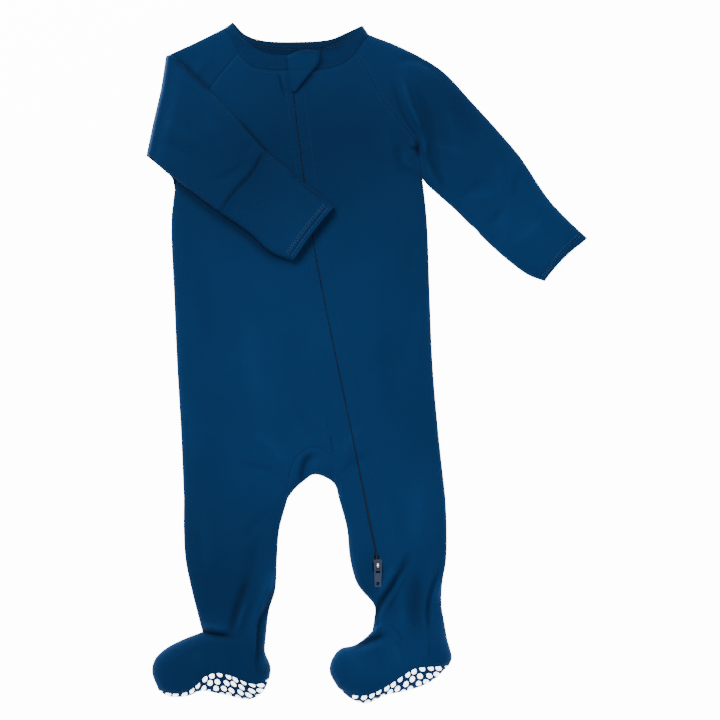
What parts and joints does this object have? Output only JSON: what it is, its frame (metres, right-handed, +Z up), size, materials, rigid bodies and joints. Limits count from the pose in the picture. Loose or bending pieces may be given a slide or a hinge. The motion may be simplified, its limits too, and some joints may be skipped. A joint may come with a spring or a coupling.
{
  "type": "onesie pajama",
  "caption": "Baby's footed zip sleeper with raglan sleeves and fold-over mitten cuffs, lying flat with one sleeve folded across the chest.",
  "frame": {"origin": "on the surface that the garment lies on, under the middle of its box", "axes": "+Z up from the surface, +Y from the feet towards the neck, +X towards the wearer's left sleeve"},
  "size_m": [0.3884, 0.5993, 0.0108],
  "materials": {
    "navy_jersey": "smooth matt jersey knit with a soft sheen",
    "gripper_jersey": "navy jersey with raised white rubber dots",
    "zip_tape": "woven ribbon",
    "zip_coil": "nylon coil",
    "zip_metal": "dark enamel, worn bright on the bridge"
  },
  "bodies": {
    "garment": {"front_right": "navy_jersey", "front_left": "navy_jersey", "back": "navy_jersey", "gusset": "navy_jersey", "sleeve_right": "navy_jersey", "sleeve_left": "navy_jersey", "mitten_right": "navy_jersey", "mitten_left": "navy_jersey", "neckband": "navy_jersey", "chin_guard": "navy_jersey", "zip_tape_right": "zip_tape", "zip_tape_left": "zip_tape", "zip_coil": "zip_coil", "slider": "zip_metal", "vamp_right": "navy_jersey", "heel_right": "navy_jersey", "sole_right": "gripper_jersey", "vamp_left": "navy_jersey", "heel_left": "navy_jersey", "sole_left": "gripper_jersey"},
    "pull_tab": {"pull_tab": "zip_metal"}
  },
  "joints": [
    {"name": "pull_tab_hinge", "type": "hinge", "parent": "garment", "child": "pull_tab", "pos_m": [0.0092, -0.178, 0.00545], "axis": [-1, 0, 0], "range_deg": [0, 170]}
  ]
}
